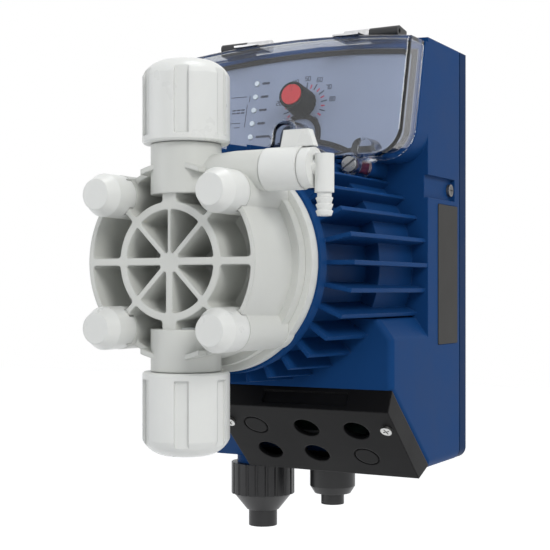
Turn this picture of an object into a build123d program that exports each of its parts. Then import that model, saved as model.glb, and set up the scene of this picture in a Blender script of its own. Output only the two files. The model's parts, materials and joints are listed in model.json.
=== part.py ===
from build123d import *
from math import atan2, cos, degrees, radians, sin, sqrt
import os

# Solenoid diaphragm metering pump for wall mounting.
# Frame: the origin is the centre of the wall face, +Z is up, and the pump looks along -Y.
# Depths are counted forward from the wall, so a piece at depth d stands at y = -d.

# --- driving sizes, in millimetres -----------------------------------------------------------
body_width = 125.4
body_height = 211.0
wall_plate_depth = 9.8
rear_box_front = 52.3
lower_box_front = 95.3
drum_front = 140.9
wall = 3.0
corner_radius = 6.3
top_crown = 1.5
head_z = -6.5

fin_count = 32
fin_thickness = 2.0
fin_front = 134.8
fin_front_radius = 53.6
fin_rear_radius = 55.0
drum_radius = 47.5
drum_collar_radius = 49.5
drum_base_radius = 54.5
drum_base_front = 91.0
drum_bore_radius = 42.5

lower_box_top = -31.5
lower_box_bevel_x = 7.1
lower_box_bevel_z = 9.3
slope_top_depth = 90.0
slope_top_z = -69.1
slope_low_depth = 51.7
slope_low_z = -103.2
front_low_z = -64.1

panel_tilt = 14.0
panel_depth = 60.8
panel_z = 79.5
panel_half_width = 53.0
panel_thickness = 1.0
panel_inset = 4.0
cover_depth = 17.4
cover_wall = 1.8
cover_half_width = 62.2
cover_crown = 4.0
cover_lobe_z = 43.5
cover_lobe_radius = 14.0
cover_arc_radius = 56.5
notch_half_width = 5.0
notch_top_z = 62.5
notch_radius = 4.0
notch_flare = 4.0
gasket_width = 2.5
gasket_height = 1.0
gasket_inset = 4.3
hinge_depth = 57.4
hinge_z = 107.4
hinge_barrel_radius = 2.7
hinge_pin_radius = 1.2
hinge_clip_start = 21.0
hinge_clip_end = 34.7
hinge_block_start = 35.0
hinge_block_end = 50.0
cover_screw_x = 36.0
cover_screw_z = 41.0

head_depth = 35.5
backplate_depth = 5.9
head_front = drum_front + backplate_depth + head_depth
head_radius = 41.4
head_flange_radius = 45.5
backplate_radius = 48.4
ring_wall = 2.1
inner_ring_radius = 24.9
inner_ring_wall = 3.2
spoke_thickness = 3.1
diagonal_thickness = 2.1
upright_thickness = 1.3
pocket_depth = 22.0
boss_reach = 28.0
boss_radius = 9.3
boss_front = 3.1
cap_length = 16.5
cap_radius = 9.15
cap_face_radius = 6.4
bolt_radius = 3.0
valve_axis_depth = 12.9
valve_boss_radius = 15.0
valve_boss_start = 28.3
discharge_boss_end = 49.5
suction_boss_end = 46.1
nut_radius = 18.6
nut_length = 35.3
nut_grooves = 6
spigot_radius = 13.6
spigot_length = 12.0
branch_height = 37.2
branch_radius = 8.5
branch_end = 39.8
branch_neck_radius = 6.4
branch_shoulder = 25.0

stroke = 1.2
running_fit = 0.05
seat_gap = 0.1
diaphragm_radius = 35.0
diaphragm_thickness = 2.4
chamber_radius = 30.5
chamber_depth = 2.2
rod_radius = 4.0
plunger_radius = 15.0
ball_radius = 4.0
ball_lift = 1.5

gland_x = -39.4
socket_x = 2.3
gland_depth = 34.3
gland_boss_height = 4.8
gland_radius = 16.9

terminal_cover_left = -30.4
terminal_lip_depth = 100.1
terminal_lip_z = -73.7
terminal_low_depth = 63.7
terminal_low_z = -108.1
terminal_back_z = -103.1
terminal_wall = 2.0
knockout_radius = 6.4

os.makedirs("parts", exist_ok=True)


def save(piece, name):
    """Label a finished piece and write its STEP file."""
    piece.label = name
    export_step(piece, f"parts/{name}.step")


def front_plane(depth, z=head_z, x=0.0):
    """A plane that looks forward at a given depth from the wall."""
    return Plane(origin=(x, -depth, z), x_dir=(1, 0, 0), z_dir=(0, -1, 0))


def panel_plane(height=0.0):
    """The leaning plane of the control panel, raised along its own normal."""
    tilt = radians(panel_tilt)
    normal = Vector(0, -cos(tilt), sin(tilt))
    origin = Vector(0, -panel_depth, panel_z) + normal * height
    return Plane(origin=origin, x_dir=(1, 0, 0), z_dir=normal)


def panel_v(z, height=0.0):
    """Distance up the leaning panel at which a world height is met."""
    tilt = radians(panel_tilt)
    return (z - panel_z - height * sin(tilt)) / cos(tilt)


def up_plane(z, x=0.0, depth=0.0):
    """A level plane at a world height, centred at x and at a depth from the wall."""
    return Plane(origin=(x, -depth, z))


def sleeve(plane, length, outer, inner=0.0):
    """A round bar or tube standing on a plane."""
    with BuildPart() as piece:
        with BuildSketch(plane):
            Circle(outer)
            if inner > 0:
                Circle(inner, mode=Mode.SUBTRACT)
        extrude(amount=length)
    return piece.part


def crowned_outline(half_width, low, high, crown, top_radius, low_radius):
    """Front view of a housing: a rectangle with rounded corners and a slightly arched top."""
    arch = (half_width**2 + crown**2) / (2 * crown)
    with BuildSketch(mode=Mode.PRIVATE) as outline:
        with Locations((0, (low + high) / 2)):
            Rectangle(2 * half_width, high - low)
        corners = outline.vertices().group_by(Axis.Y)
        fillet(corners[0], low_radius)
        fillet(corners[-1], top_radius)
        with Locations((0, high - arch)):
            Circle(arch, mode=Mode.INTERSECT)
    return outline.sketch


def panel_outline(inset=0.0, notched=True, arc=cover_arc_radius, half_width=cover_half_width):
    """Front view of the control cover: two lobes around the motor housing and a notch between them."""
    with BuildSketch(mode=Mode.PRIVATE) as outline:
        add(
            crowned_outline(
                half_width, cover_lobe_z, body_height / 2, cover_crown, corner_radius, cover_lobe_radius
            )
        )
        with Locations((0, head_z)):
            Circle(arc, mode=Mode.SUBTRACT)
        if notched:
            with Locations((0, (notch_top_z + cover_lobe_z) / 2)):
                RectangleRounded(
                    2 * notch_half_width,
                    notch_top_z - cover_lobe_z,
                    notch_radius,
                    mode=Mode.SUBTRACT,
                )
            notch_foot = head_z + sqrt(arc**2 - notch_half_width**2)
            feet = outline.vertices().filter_by(
                lambda point: abs(abs(point.X) - notch_half_width) < 0.1 and abs(point.Y - notch_foot) < 0.1
            )
            fillet(feet, notch_flare)
        if inset > 0:
            offset(amount=-inset, kind=Kind.INTERSECTION, mode=Mode.REPLACE)
    return outline.sketch


def leaning_slab(outline, low_height, high_height):
    """A front outline carried between two heights above the leaning panel plane."""
    reach = 60.0
    with BuildPart(mode=Mode.PRIVATE) as slab:
        with BuildSketch(front_plane(panel_depth - reach / 2, 0)):
            add(outline)
        extrude(amount=reach * 1.5)
        split(bisect_by=panel_plane(low_height), keep=Keep.TOP)
        split(bisect_by=panel_plane(high_height), keep=Keep.BOTTOM)
    return slab.part


# --- casing ----------------------------------------------------------------------------------
half_width = body_width / 2
half_height = body_height / 2
slope_rate = (slope_low_z - slope_top_z) / (slope_top_depth - slope_low_depth)
slope_foot_depth = slope_low_depth + (slope_low_z + half_height) / slope_rate

lower_edge_radius = 3.0
with BuildPart() as case_blank:
    with BuildSketch(Plane.YZ.offset(-half_width)):
        with BuildLine():
            Polyline(
                (-wall_plate_depth, -half_height),
                (-wall_plate_depth, half_height),
                (-rear_box_front, half_height),
                (-rear_box_front, lower_box_top),
                (-lower_box_front, lower_box_top),
                (-lower_box_front, front_low_z),
                (-slope_top_depth, slope_top_z),
                (-slope_foot_depth, -half_height),
                close=True,
            )
        make_face()
    extrude(amount=body_width)
    bevel_depth = lower_box_front - rear_box_front
    with BuildSketch(front_plane(rear_box_front, 0)):
        for side in (-1, 1):
            with BuildLine():
                Polyline(
                    (side * (half_width - lower_box_bevel_x), lower_box_top),
                    (side * half_width, lower_box_top),
                    (side * half_width, lower_box_top - lower_box_bevel_z),
                    close=True,
                )
            make_face()
    extrude(amount=bevel_depth, mode=Mode.SUBTRACT)
    front_edges = case_blank.edges().filter_by(
        lambda edge: (edge @ 0.5).Y < -rear_box_front - 5 and abs(abs((edge @ 0.5).X) - half_width) < 8
    )
    fillet(front_edges, lower_edge_radius)
    add(
        leaning_slab(
            crowned_outline(
                half_width, cover_lobe_z, half_height, cover_crown, corner_radius, cover_lobe_radius
            ),
            -20.0,
            0.0,
        )
    )
    with BuildSketch(front_plane(wall_plate_depth, 0)):
        add(crowned_outline(half_width, -half_height, half_height, top_crown, corner_radius, 5.0))
    extrude(amount=lower_box_front, mode=Mode.INTERSECT)

fin_reach = half_width - 0.2


def fin_section(flat_radius):
    """As wide as the casing, and flattened above and below the axis."""
    with BuildSketch(mode=Mode.PRIVATE) as section_face:
        Ellipse(fin_reach, flat_radius)
    return section_face.sketch


def fin_gaps(core_radius):
    """The spaces between the radial fins, outside a round core."""
    with BuildSketch(mode=Mode.PRIVATE) as gaps:
        Circle(body_width)
        Circle(core_radius, mode=Mode.SUBTRACT)
        for fin in range(fin_count // 2):
            with Locations(Rotation(0, 0, fin * 360 / fin_count)):
                Rectangle(3 * body_width, fin_thickness, mode=Mode.SUBTRACT)
    return gaps.sketch


with BuildPart() as motor_housing:
    with BuildSketch(front_plane(rear_box_front)):
        add(fin_section(fin_rear_radius))
    extrude(amount=lower_box_front - rear_box_front)
    with BuildSketch(front_plane(lower_box_front)):
        add(fin_section(fin_rear_radius))
    with BuildSketch(front_plane(fin_front)):
        add(fin_section(fin_front_radius))
    loft(ruled=True)
    with BuildSketch(front_plane(drum_base_front)):
        add(fin_gaps(drum_radius))
    extrude(amount=fin_front - drum_base_front, mode=Mode.SUBTRACT)
    with BuildSketch(front_plane(rear_box_front)):
        add(fin_gaps(drum_base_radius))
    extrude(amount=drum_base_front - rear_box_front, mode=Mode.SUBTRACT)
    with BuildSketch(front_plane(fin_front)):
        Circle(drum_collar_radius)
    extrude(amount=drum_front - fin_front)

# The drum is bored for the solenoid, and the boxes behind it are hollow for the boards.
bolt_points = [(x, z) for x in (-boss_reach, boss_reach) for z in (-boss_reach, boss_reach)]
pillar_back = 122.0
drum_wall_back = drum_front - 4.0
rod_hole_radius = 16.0
slope_angle = degrees(atan2(slope_top_z - slope_low_z, slope_top_depth - slope_low_depth))
slope_plane = Plane(
    origin=(0, -(slope_top_depth + slope_low_depth) / 2, (slope_top_z + slope_low_z) / 2),
    x_dir=(1, 0, 0),
    z_dir=(0, -sin(radians(slope_angle)), -cos(radians(slope_angle))),
)
terminal_x = (terminal_cover_left + half_width) / 2
terminal_width = half_width - terminal_cover_left
pocket_width = terminal_width - 16.0
pocket_height = 34.0
pocket_floor = 12.0
terminal_board_low = -9.6
led_x = -28.2
led_pitch = 7.26
led_top = 8.2
led_radius = 1.3
led_rise = 0.8
led_points = [(led_x, led_top - led_pitch * led) for led in range(5)]
knob_v = -5.8
knob_x = 1.0
pot_shaft_radius = 3.0
side_plate_z = -10.6
side_plate_height = 69.6
side_plate_depth = 26.0
side_plate_width = 26.5
side_plate_thickness = 1.0
side_notch_z = 32.0
side_notch_height = 11.0
side_notch_floor = 4.0
side_screw_depth = 20.0
keyhole_x = 48.0
keyhole_z = 75.0
cover_ear_back = 70.6
cover_ear_front = 82.0
cover_ear_radius = 5.4
cover_screw_radius = 1.9
cover_screw_head_radius = 3.7
ear_room_half = 6.2
ear_room_low = 35.0
ear_room_high = 60.0
ear_room_front = 102.0
wall_hole_radius = 2.75

with BuildPart() as casing:
    add(case_blank.part)
    add(motor_housing.part)
    with BuildSketch(front_plane(wall_plate_depth)):
        Circle(drum_bore_radius)
    extrude(amount=drum_wall_back - wall_plate_depth, mode=Mode.SUBTRACT)
    with BuildSketch(front_plane(pillar_back)):
        with Locations(*bolt_points):
            Circle(boss_radius - wall)
    extrude(amount=drum_wall_back - pillar_back)
    with BuildSketch(front_plane(drum_wall_back)):
        Circle(rod_hole_radius)
    extrude(amount=drum_front - drum_wall_back, mode=Mode.SUBTRACT)
    with BuildSketch(front_plane(drum_front)):
        with Locations(*bolt_points):
            Circle(bolt_radius)
    extrude(amount=pillar_back + 2 - drum_front, mode=Mode.SUBTRACT)
    with BuildSketch(front_plane(wall_plate_depth, 0)):
        RectangleRounded(body_width - 2 * wall, body_height - 2 * wall, 4.0)
    extrude(amount=rear_box_front - wall - wall_plate_depth, mode=Mode.SUBTRACT)
    with BuildSketch(Plane.YZ.offset(-(half_width - wall))):
        with BuildLine():
            Polyline(
                (-30.0, -half_height - 1.0),
                (-rear_box_front + wall, -88.0),
                (-80.0, -59.0),
                (-lower_box_front + wall, -48.0),
                (-lower_box_front + wall, -44.0),
                (-30.0, -44.0),
                close=True,
            )
        make_face()
    inner_box = extrude(amount=body_width - 2 * wall, mode=Mode.PRIVATE)
    with BuildSketch(Plane.XY.offset(-half_height + wall)):
        Rectangle(2 * body_width, 4 * body_width)
    room_above = extrude(amount=body_height, mode=Mode.PRIVATE)
    add(inner_box & room_above, mode=Mode.SUBTRACT)
    with BuildSketch(Plane.YZ.offset(-panel_half_width + 2)):
        with BuildLine():
            Polyline(
                (-rear_box_front + wall + 1, 54.0),
                (-63.4, 54.0),
                (-52.6, 98.0),
                (-rear_box_front + wall + 1, 98.0),
                close=True,
            )
        make_face()
    extrude(amount=2 * panel_half_width - 4, mode=Mode.SUBTRACT)
    add(
        leaning_slab(panel_outline(panel_inset - seat_gap, notched=False), -panel_thickness, 6.0),
        mode=Mode.SUBTRACT,
    )
    with BuildSketch(panel_plane()):
        with Locations(*led_points):
            Circle(led_radius + seat_gap)
    extrude(amount=-6.0, mode=Mode.SUBTRACT)
    with BuildSketch(panel_plane(1.0)):
        with Locations((knob_x, knob_v)):
            Circle(pot_shaft_radius + 1)
    extrude(amount=-8.0, mode=Mode.SUBTRACT)
    with BuildSketch(slope_plane):
        with Locations((terminal_x, 0)):
            RectangleRounded(pocket_width, pocket_height, 3.0)
    extrude(amount=-pocket_floor, mode=Mode.SUBTRACT)
    with BuildSketch(slope_plane.offset(-pocket_floor)):
        with Locations((terminal_x, 0)):
            with GridLocations(pocket_width - 10, pocket_height - 9, 2, 2):
                Circle(2.2)
    extrude(amount=terminal_board_low + pocket_floor)
    with BuildSketch(up_plane(-half_height, gland_x, gland_depth)):
        Circle(gland_radius - 3.2)
    extrude(amount=-gland_boss_height)
    with BuildSketch(up_plane(-half_height - gland_boss_height, gland_x, gland_depth)):
        Circle(8.2)
    extrude(amount=gland_boss_height + wall, mode=Mode.SUBTRACT)
    with BuildSketch(up_plane(-half_height, socket_x, gland_depth)):
        Circle(6.2)
    extrude(amount=wall, mode=Mode.SUBTRACT)
    for side in (-1, 1):
        side_face = Plane(origin=(side * half_width, 0, 0), x_dir=(0, 1, 0), z_dir=(side, 0, 0))
        with BuildSketch(side_face):
            with Locations((-(rear_box_front + 16.3) / 2, -side * -side_notch_z)):
                Rectangle(rear_box_front - 16.3, side_notch_height)
        extrude(amount=-(wall - 1), mode=Mode.SUBTRACT)
        with BuildSketch(side_face):
            with Locations((-side_screw_depth, side * side_notch_z)):
                Circle(2.1)
        extrude(amount=-wall - 1, mode=Mode.SUBTRACT)
    right_face = Plane(origin=(half_width, 0, 0), x_dir=(0, 1, 0), z_dir=(1, 0, 0))
    with BuildSketch(right_face):
        with Locations((-side_plate_depth, side_plate_z)):
            Rectangle(side_plate_width, side_plate_height)
    extrude(amount=-side_plate_thickness + 0.3, mode=Mode.SUBTRACT)
    with BuildSketch(front_plane(rear_box_front - 1, cover_screw_z, cover_screw_x)):
        Circle(cover_ear_radius)
    extrude(amount=cover_ear_back - rear_box_front + 1)
    with BuildSketch(front_plane(cover_ear_back, 0)):
        with Locations((cover_screw_x, (ear_room_low + ear_room_high) / 2)):
            Rectangle(2 * ear_room_half, ear_room_high - ear_room_low)
    extrude(amount=ear_room_front - cover_ear_back, mode=Mode.SUBTRACT)
    with BuildSketch(front_plane(cover_ear_back, cover_screw_z, cover_screw_x)):
        Circle(cover_screw_radius)
    extrude(amount=-12.0, mode=Mode.SUBTRACT)
save(casing.part, "casing")

# --- wall plate and its seal -----------------------------------------------------------------
gasket_thickness = 1.0
with BuildPart() as wall_plate:
    with BuildSketch(front_plane(0, 0)):
        add(crowned_outline(half_width, -half_height, half_height, top_crown, 7.5, 5.5))
    extrude(amount=wall_plate_depth - gasket_thickness)
    with BuildSketch(front_plane(3.5, 0)):
        RectangleRounded(body_width - 10, body_height - 10, 3.0)
    extrude(amount=wall_plate_depth, mode=Mode.SUBTRACT)
    with BuildSketch(front_plane(3.5, 0)):
        with Locations(*[(x, z) for x in (-keyhole_x, keyhole_x) for z in (-keyhole_z, keyhole_z)]):
            Circle(7.0)
    extrude(amount=3.5)
    with BuildSketch(front_plane(3.5, 0)):
        with Locations(*[(x, -62.0 + z) for x in (-40.0, 40.0) for z in (-24.0, 24.0)]):
            Circle(3.5)
            Circle(1.4, mode=Mode.SUBTRACT)
    extrude(amount=22.0 - 3.5)
    with BuildSketch(front_plane(3.5, 0)):
        for side in (-1, 1):
            with Locations((side * (half_width - wall - 5.2), side_notch_z)):
                Rectangle(8.0, 12.0)
    extrude(amount=side_screw_depth + 3)
    with BuildSketch(front_plane(0, 0)):
        with Locations(*[(x, z) for x in (-keyhole_x, keyhole_x) for z in (-keyhole_z, keyhole_z)]):
            Circle(wall_hole_radius)
    extrude(amount=8.0, mode=Mode.SUBTRACT)
    with BuildSketch(Plane(origin=(-half_width, 0, 0), x_dir=(0, 1, 0), z_dir=(1, 0, 0))):
        with Locations((-side_screw_depth, side_notch_z)):
            Circle(1.6)
    extrude(amount=body_width, mode=Mode.SUBTRACT)
save(wall_plate.part, "wall_plate")

with BuildPart() as rear_gasket:
    with BuildSketch(front_plane(wall_plate_depth - gasket_thickness, 0)):
        RectangleRounded(body_width - 1, body_height - 1, 5.0)
        RectangleRounded(body_width - 2 * wall - 1.5, body_height - 2 * wall - 1.5, 3.5, mode=Mode.SUBTRACT)
    extrude(amount=gasket_thickness)
save(rear_gasket.part, "rear_gasket")

with BuildPart() as side_screws:
    for side in (-1, 1):
        screw_plane = Plane(
            origin=(side * (half_width - wall + 1), -side_screw_depth, side_notch_z),
            x_dir=(0, 1, 0),
            z_dir=(side, 0, 0),
        )
        with BuildSketch(screw_plane):
            Circle(3.1)
        extrude(amount=1.6)
        with BuildSketch(screw_plane):
            Circle(1.55)
        extrude(amount=-6.5)
        with BuildSketch(screw_plane.offset(1.0)):
            Rectangle(0.7, 4.0)
            Rectangle(4.0, 0.7)
        extrude(amount=1.0, mode=Mode.SUBTRACT)
save(side_screws.part, "side_screws")

with BuildPart() as side_plate:
    with BuildSketch(right_face.offset(-side_plate_thickness + 0.3)):
        with Locations((-side_plate_depth, side_plate_z)):
            RectangleRounded(side_plate_width - 0.2, side_plate_height - 0.2, 1.0)
    extrude(amount=side_plate_thickness)
save(side_plate.part, "side_plate")

# --- control panel ---------------------------------------------------------------------------
with BuildPart() as control_panel:
    add(leaning_slab(panel_outline(panel_inset, notched=False), -panel_thickness, 0.0))
    with BuildSketch(panel_plane()):
        with Locations(*led_points):
            Circle(led_radius + seat_gap)
    extrude(amount=-panel_thickness * 2, mode=Mode.SUBTRACT)
    with BuildSketch(panel_plane(1.0)):
        with Locations((knob_x, knob_v)):
            Circle(pot_shaft_radius + 1)
    extrude(amount=-8.0, mode=Mode.SUBTRACT)
save(control_panel.part, "control_panel")

with BuildPart() as panel_gasket:
    add(leaning_slab(panel_outline(gasket_inset), 0.0, gasket_height))
    add(
        leaning_slab(panel_outline(gasket_inset + gasket_width), -1.0, gasket_height + 1),
        mode=Mode.SUBTRACT,
    )
save(panel_gasket.part, "panel_gasket")

with BuildPart() as control_board:
    with BuildSketch(panel_plane(-7.6)):
        with Locations((0, -2.6)):
            Rectangle(88.0, 39.0)
    extrude(amount=1.6)
save(control_board.part, "control_board")

with BuildPart() as indicator_lamps:
    with BuildSketch(panel_plane(-6.0)):
        with Locations(*led_points):
            Circle(led_radius)
    extrude(amount=6.0 + led_rise)
save(indicator_lamps.part, "indicator_lamps")

with BuildPart() as potentiometer:
    with BuildSketch(panel_plane(-6.0)):
        with Locations((knob_x, knob_v)):
            Circle(7.5)
    extrude(amount=2.4)
    with BuildSketch(panel_plane(-3.6)):
        with Locations((knob_x, knob_v)):
            Circle(3.9)
            Circle(pot_shaft_radius + running_fit, mode=Mode.SUBTRACT)
    extrude(amount=4.6)
save(potentiometer.part, "potentiometer")

knob_base = 2.2
knob_length = 12.4
knob_base_radius = 7.4
knob_face_radius = 6.6
with BuildPart() as pot_shaft:
    with BuildSketch(panel_plane(-3.5)):
        with Locations((knob_x, knob_v)):
            Circle(pot_shaft_radius)
            with Locations((0, -pot_shaft_radius)):
                Rectangle(4.0, 1.2, mode=Mode.SUBTRACT)
    extrude(amount=knob_base + knob_length - 1.0)
save(pot_shaft.part, "pot_shaft")

knob_grooves = 18
with BuildPart() as knob:
    with BuildSketch(panel_plane(knob_base)):
        with Locations((knob_x, knob_v)):
            Circle(knob_base_radius)
    extrude(amount=knob_length, taper=2.5)
    with BuildSketch(panel_plane(knob_base)):
        with Locations((knob_x, knob_v)):
            with PolarLocations(knob_base_radius + 0.5, knob_grooves):
                Circle(0.8)
    extrude(amount=knob_length - 2.5, mode=Mode.SUBTRACT)
    with BuildSketch(panel_plane(knob_base)):
        with Locations((knob_x, knob_v)):
            Circle(pot_shaft_radius + 0.02)
            with Locations((0, -pot_shaft_radius)):
                Rectangle(4.0, 1.16, mode=Mode.SUBTRACT)
    extrude(amount=knob_length - 3.0, mode=Mode.SUBTRACT)
    with BuildSketch(panel_plane(knob_base + knob_length)):
        with Locations((knob_x, knob_v)):
            Circle(knob_face_radius - 1.3)
    extrude(amount=-1.2, mode=Mode.SUBTRACT)
save(knob.part, "knob")

with BuildPart() as knob_cap:
    with BuildSketch(panel_plane(knob_base + knob_length - 1.2)):
        with Locations((knob_x, knob_v)):
            Circle(knob_face_radius - 1.35)
    extrude(amount=1.8)
    with BuildSketch(panel_plane(knob_base + knob_length + 0.6)):
        with Locations((knob_x, knob_v + knob_face_radius / 2)):
            Rectangle(1.0, knob_face_radius - 2.6)
    extrude(amount=-0.5, mode=Mode.SUBTRACT)
save(knob_cap.part, "knob_cap")

# --- see-through cover, its hinge and its captive screw ----------------------------------------
hinge_gap = 0.6
clip_thickness = 1.0
clip_reach = 15.0
block_root_depth = 48.5
sleeve_radius = 3.6


def along_x(start, length, radius, depth, z, inner=0.0):
    """A round bar or tube that lies along X."""
    return sleeve(Plane(origin=(start, -depth, z), x_dir=(0, 1, 0), z_dir=(1, 0, 0)), length, radius, inner)


with BuildPart() as display_cover:
    add(leaning_slab(panel_outline(), 0.0, cover_depth))
    front_loop = display_cover.faces().filter_by(lambda face: face.normal_at().dot(panel_plane().z_dir) > 0.999)
    fillet(front_loop.edges(), 2.5)
    add(leaning_slab(panel_outline(cover_wall), -1.0, cover_depth - cover_wall), mode=Mode.SUBTRACT)
    ear_plane = front_plane(cover_ear_back + seat_gap, cover_screw_z, cover_screw_x)
    add(sleeve(ear_plane, -cover_depth, cover_ear_radius + seat_gap), mode=Mode.SUBTRACT)
    add(sleeve(ear_plane, 2 * cover_depth, cover_screw_head_radius + 0.6), mode=Mode.SUBTRACT)
    with BuildSketch(ear_plane):
        Circle(cover_ear_radius)
        with Locations((5.5, 7.0)):
            Circle(cover_ear_radius)
    extrude(amount=cover_ear_front - cover_ear_back - seat_gap)
    with BuildSketch(front_plane(cover_ear_back, cover_screw_z, cover_screw_x)):
        Circle(sleeve_radius)
    extrude(amount=cover_depth, mode=Mode.SUBTRACT)
    for side in (-1, 1):
        block_centre = side * (hinge_block_start + hinge_block_end) / 2
        block_length = hinge_block_end - hinge_block_start + 1.0
        add(
            along_x(
                block_centre - block_length / 2,
                block_length,
                hinge_barrel_radius + hinge_gap,
                hinge_depth,
                hinge_z,
            ),
            mode=Mode.SUBTRACT,
        )
save(display_cover.part, "display_cover")

with BuildPart() as screw_sleeve:
    add(
        sleeve(
            front_plane(cover_ear_back + seat_gap, cover_screw_z, cover_screw_x),
            cover_ear_front - cover_ear_back + 0.4,
            sleeve_radius - 0.02,
            cover_screw_radius + 0.05,
        )
    )
save(screw_sleeve.part, "screw_sleeve")

with BuildPart() as cover_screw:
    with BuildSketch(front_plane(cover_ear_back + seat_gap, cover_screw_z, cover_screw_x)):
        Circle(cover_screw_radius)
    extrude(amount=cover_ear_front - cover_ear_back + 0.5)
    with BuildSketch(front_plane(cover_ear_front + 0.6, cover_screw_z, cover_screw_x)):
        Circle(cover_screw_head_radius)
    extrude(amount=2.6)
    with BuildSketch(front_plane(cover_ear_front + 3.2, cover_screw_z, cover_screw_x)):
        Rectangle(9.0, 0.9, rotation=35)
    extrude(amount=-1.2, mode=Mode.SUBTRACT)
save(cover_screw.part, "cover_screw")

with BuildPart() as hinge_blocks:
    for side in (-1, 1):
        inner_face = side * hinge_block_start if side > 0 else side * hinge_block_end
        with BuildSketch(Plane.YZ.offset(inner_face)):
            with Locations((-hinge_depth, hinge_z)):
                Circle(hinge_barrel_radius)
            with BuildLine():
                Polyline(
                    (-hinge_depth, hinge_z + hinge_barrel_radius),
                    (-block_root_depth, hinge_z + hinge_barrel_radius - 1.4),
                    (-block_root_depth, half_height - 1.0),
                    (-hinge_depth + 2.9, half_height - 1.0),
                    (-hinge_depth, hinge_z - hinge_barrel_radius + 0.2),
                    close=True,
                )
            make_face()
        extrude(amount=hinge_block_end - hinge_block_start)
        add(
            along_x(
                side * (hinge_block_start + hinge_block_end) / 2 - 10,
                20.0,
                hinge_pin_radius,
                hinge_depth,
                hinge_z,
            ),
            mode=Mode.SUBTRACT,
        )
    add(case_blank.part, mode=Mode.SUBTRACT)
save(hinge_blocks.part, "hinge_blocks")

with BuildPart() as hinge_pins:
    for start in (-hinge_block_end + 1, hinge_clip_start):
        add(
            along_x(
                start,
                hinge_block_end - 1 - hinge_clip_start,
                hinge_pin_radius,
                hinge_depth,
                hinge_z,
            )
        )
save(hinge_pins.part, "hinge_pins")

with BuildPart() as hinge_clips:
    for start in (-hinge_clip_end, hinge_clip_start):
        with BuildSketch(Plane.YZ.offset(start)):
            with Locations((-hinge_depth, hinge_z)):
                Circle(hinge_barrel_radius)
            with BuildLine():
                Polyline(
                    (-hinge_depth, hinge_z - hinge_barrel_radius),
                    (-hinge_depth - clip_reach, hinge_z - hinge_barrel_radius),
                    (-hinge_depth - clip_reach, hinge_z - hinge_barrel_radius + clip_thickness),
                    (-hinge_depth - 2, hinge_z - hinge_barrel_radius + clip_thickness),
                    (-hinge_depth, hinge_z),
                    close=True,
                )
            make_face()
            with Locations((-hinge_depth, hinge_z)):
                Circle(hinge_pin_radius + running_fit, mode=Mode.SUBTRACT)
        extrude(amount=hinge_clip_end - hinge_clip_start)
    add(leaning_slab(panel_outline(), 0.0, cover_depth), mode=Mode.SUBTRACT)
save(hinge_clips.part, "hinge_clips")

# --- liquid end --------------------------------------------------------------------------------
head_back = drum_front + backplate_depth
barrel_start = head_back + 6.0
diaphragm_back = head_back - diaphragm_thickness
pocket_outer = head_radius - ring_wall
pocket_floor_depth = head_front - pocket_depth
inner_pocket_radius = inner_ring_radius - inner_ring_wall
boss_end_depth = head_front - boss_front
valve_axis = head_front - valve_axis_depth
duct_radius = 2.2
duct_reach = 27.5
cartridge_radius = 9.0
discharge_start = 31.0
suction_start = 27.6
bolt_clearance = 0.2
rim_drop = 6.0

with BuildPart() as backplate:
    with BuildSketch(front_plane(drum_front)):
        Circle(backplate_radius)
        with Locations(*bolt_points):
            Circle(boss_radius + 0.3)
        Circle(inner_ring_radius - 1, mode=Mode.SUBTRACT)
        with Locations(*bolt_points):
            Circle(bolt_radius + bolt_clearance, mode=Mode.SUBTRACT)
    extrude(amount=backplate_depth)
    with BuildSketch(front_plane(head_back)):
        Circle(diaphragm_radius + seat_gap)
    extrude(amount=-diaphragm_thickness, mode=Mode.SUBTRACT)
save(backplate.part, "backplate")

save(sleeve(front_plane(diaphragm_back), diaphragm_thickness, diaphragm_radius), "diaphragm")

with BuildSketch(mode=Mode.PRIVATE) as outer_pockets:
    Circle(pocket_outer)
    Circle(inner_ring_radius, mode=Mode.SUBTRACT)
    Rectangle(3 * head_radius, spoke_thickness, mode=Mode.SUBTRACT)
    Rectangle(3 * duct_radius, 3 * head_radius, mode=Mode.SUBTRACT)
    for turn in (45, 135):
        with Locations(Rotation(0, 0, turn)):
            Rectangle(3 * head_radius, diagonal_thickness, mode=Mode.SUBTRACT)
    with Locations(*bolt_points):
        Circle(boss_radius, mode=Mode.SUBTRACT)
    offset(amount=-1.5, kind=Kind.INTERSECTION, mode=Mode.REPLACE)
    offset(amount=1.5, kind=Kind.ARC, mode=Mode.REPLACE)

with BuildSketch(mode=Mode.PRIVATE) as inner_pockets:
    Circle(inner_pocket_radius)
    Rectangle(3 * head_radius, spoke_thickness, mode=Mode.SUBTRACT)
    for turn in (45, 135):
        with Locations(Rotation(0, 0, turn)):
            Rectangle(3 * head_radius, diagonal_thickness, mode=Mode.SUBTRACT)
    with Locations((0, head_radius / 2)):
        Rectangle(upright_thickness, head_radius, mode=Mode.SUBTRACT)
    with Locations((0, -head_radius / 2)):
        Rectangle(spoke_thickness, head_radius, mode=Mode.SUBTRACT)
    offset(amount=-0.9, kind=Kind.INTERSECTION, mode=Mode.REPLACE)
    offset(amount=0.9, kind=Kind.ARC, mode=Mode.REPLACE)

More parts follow.
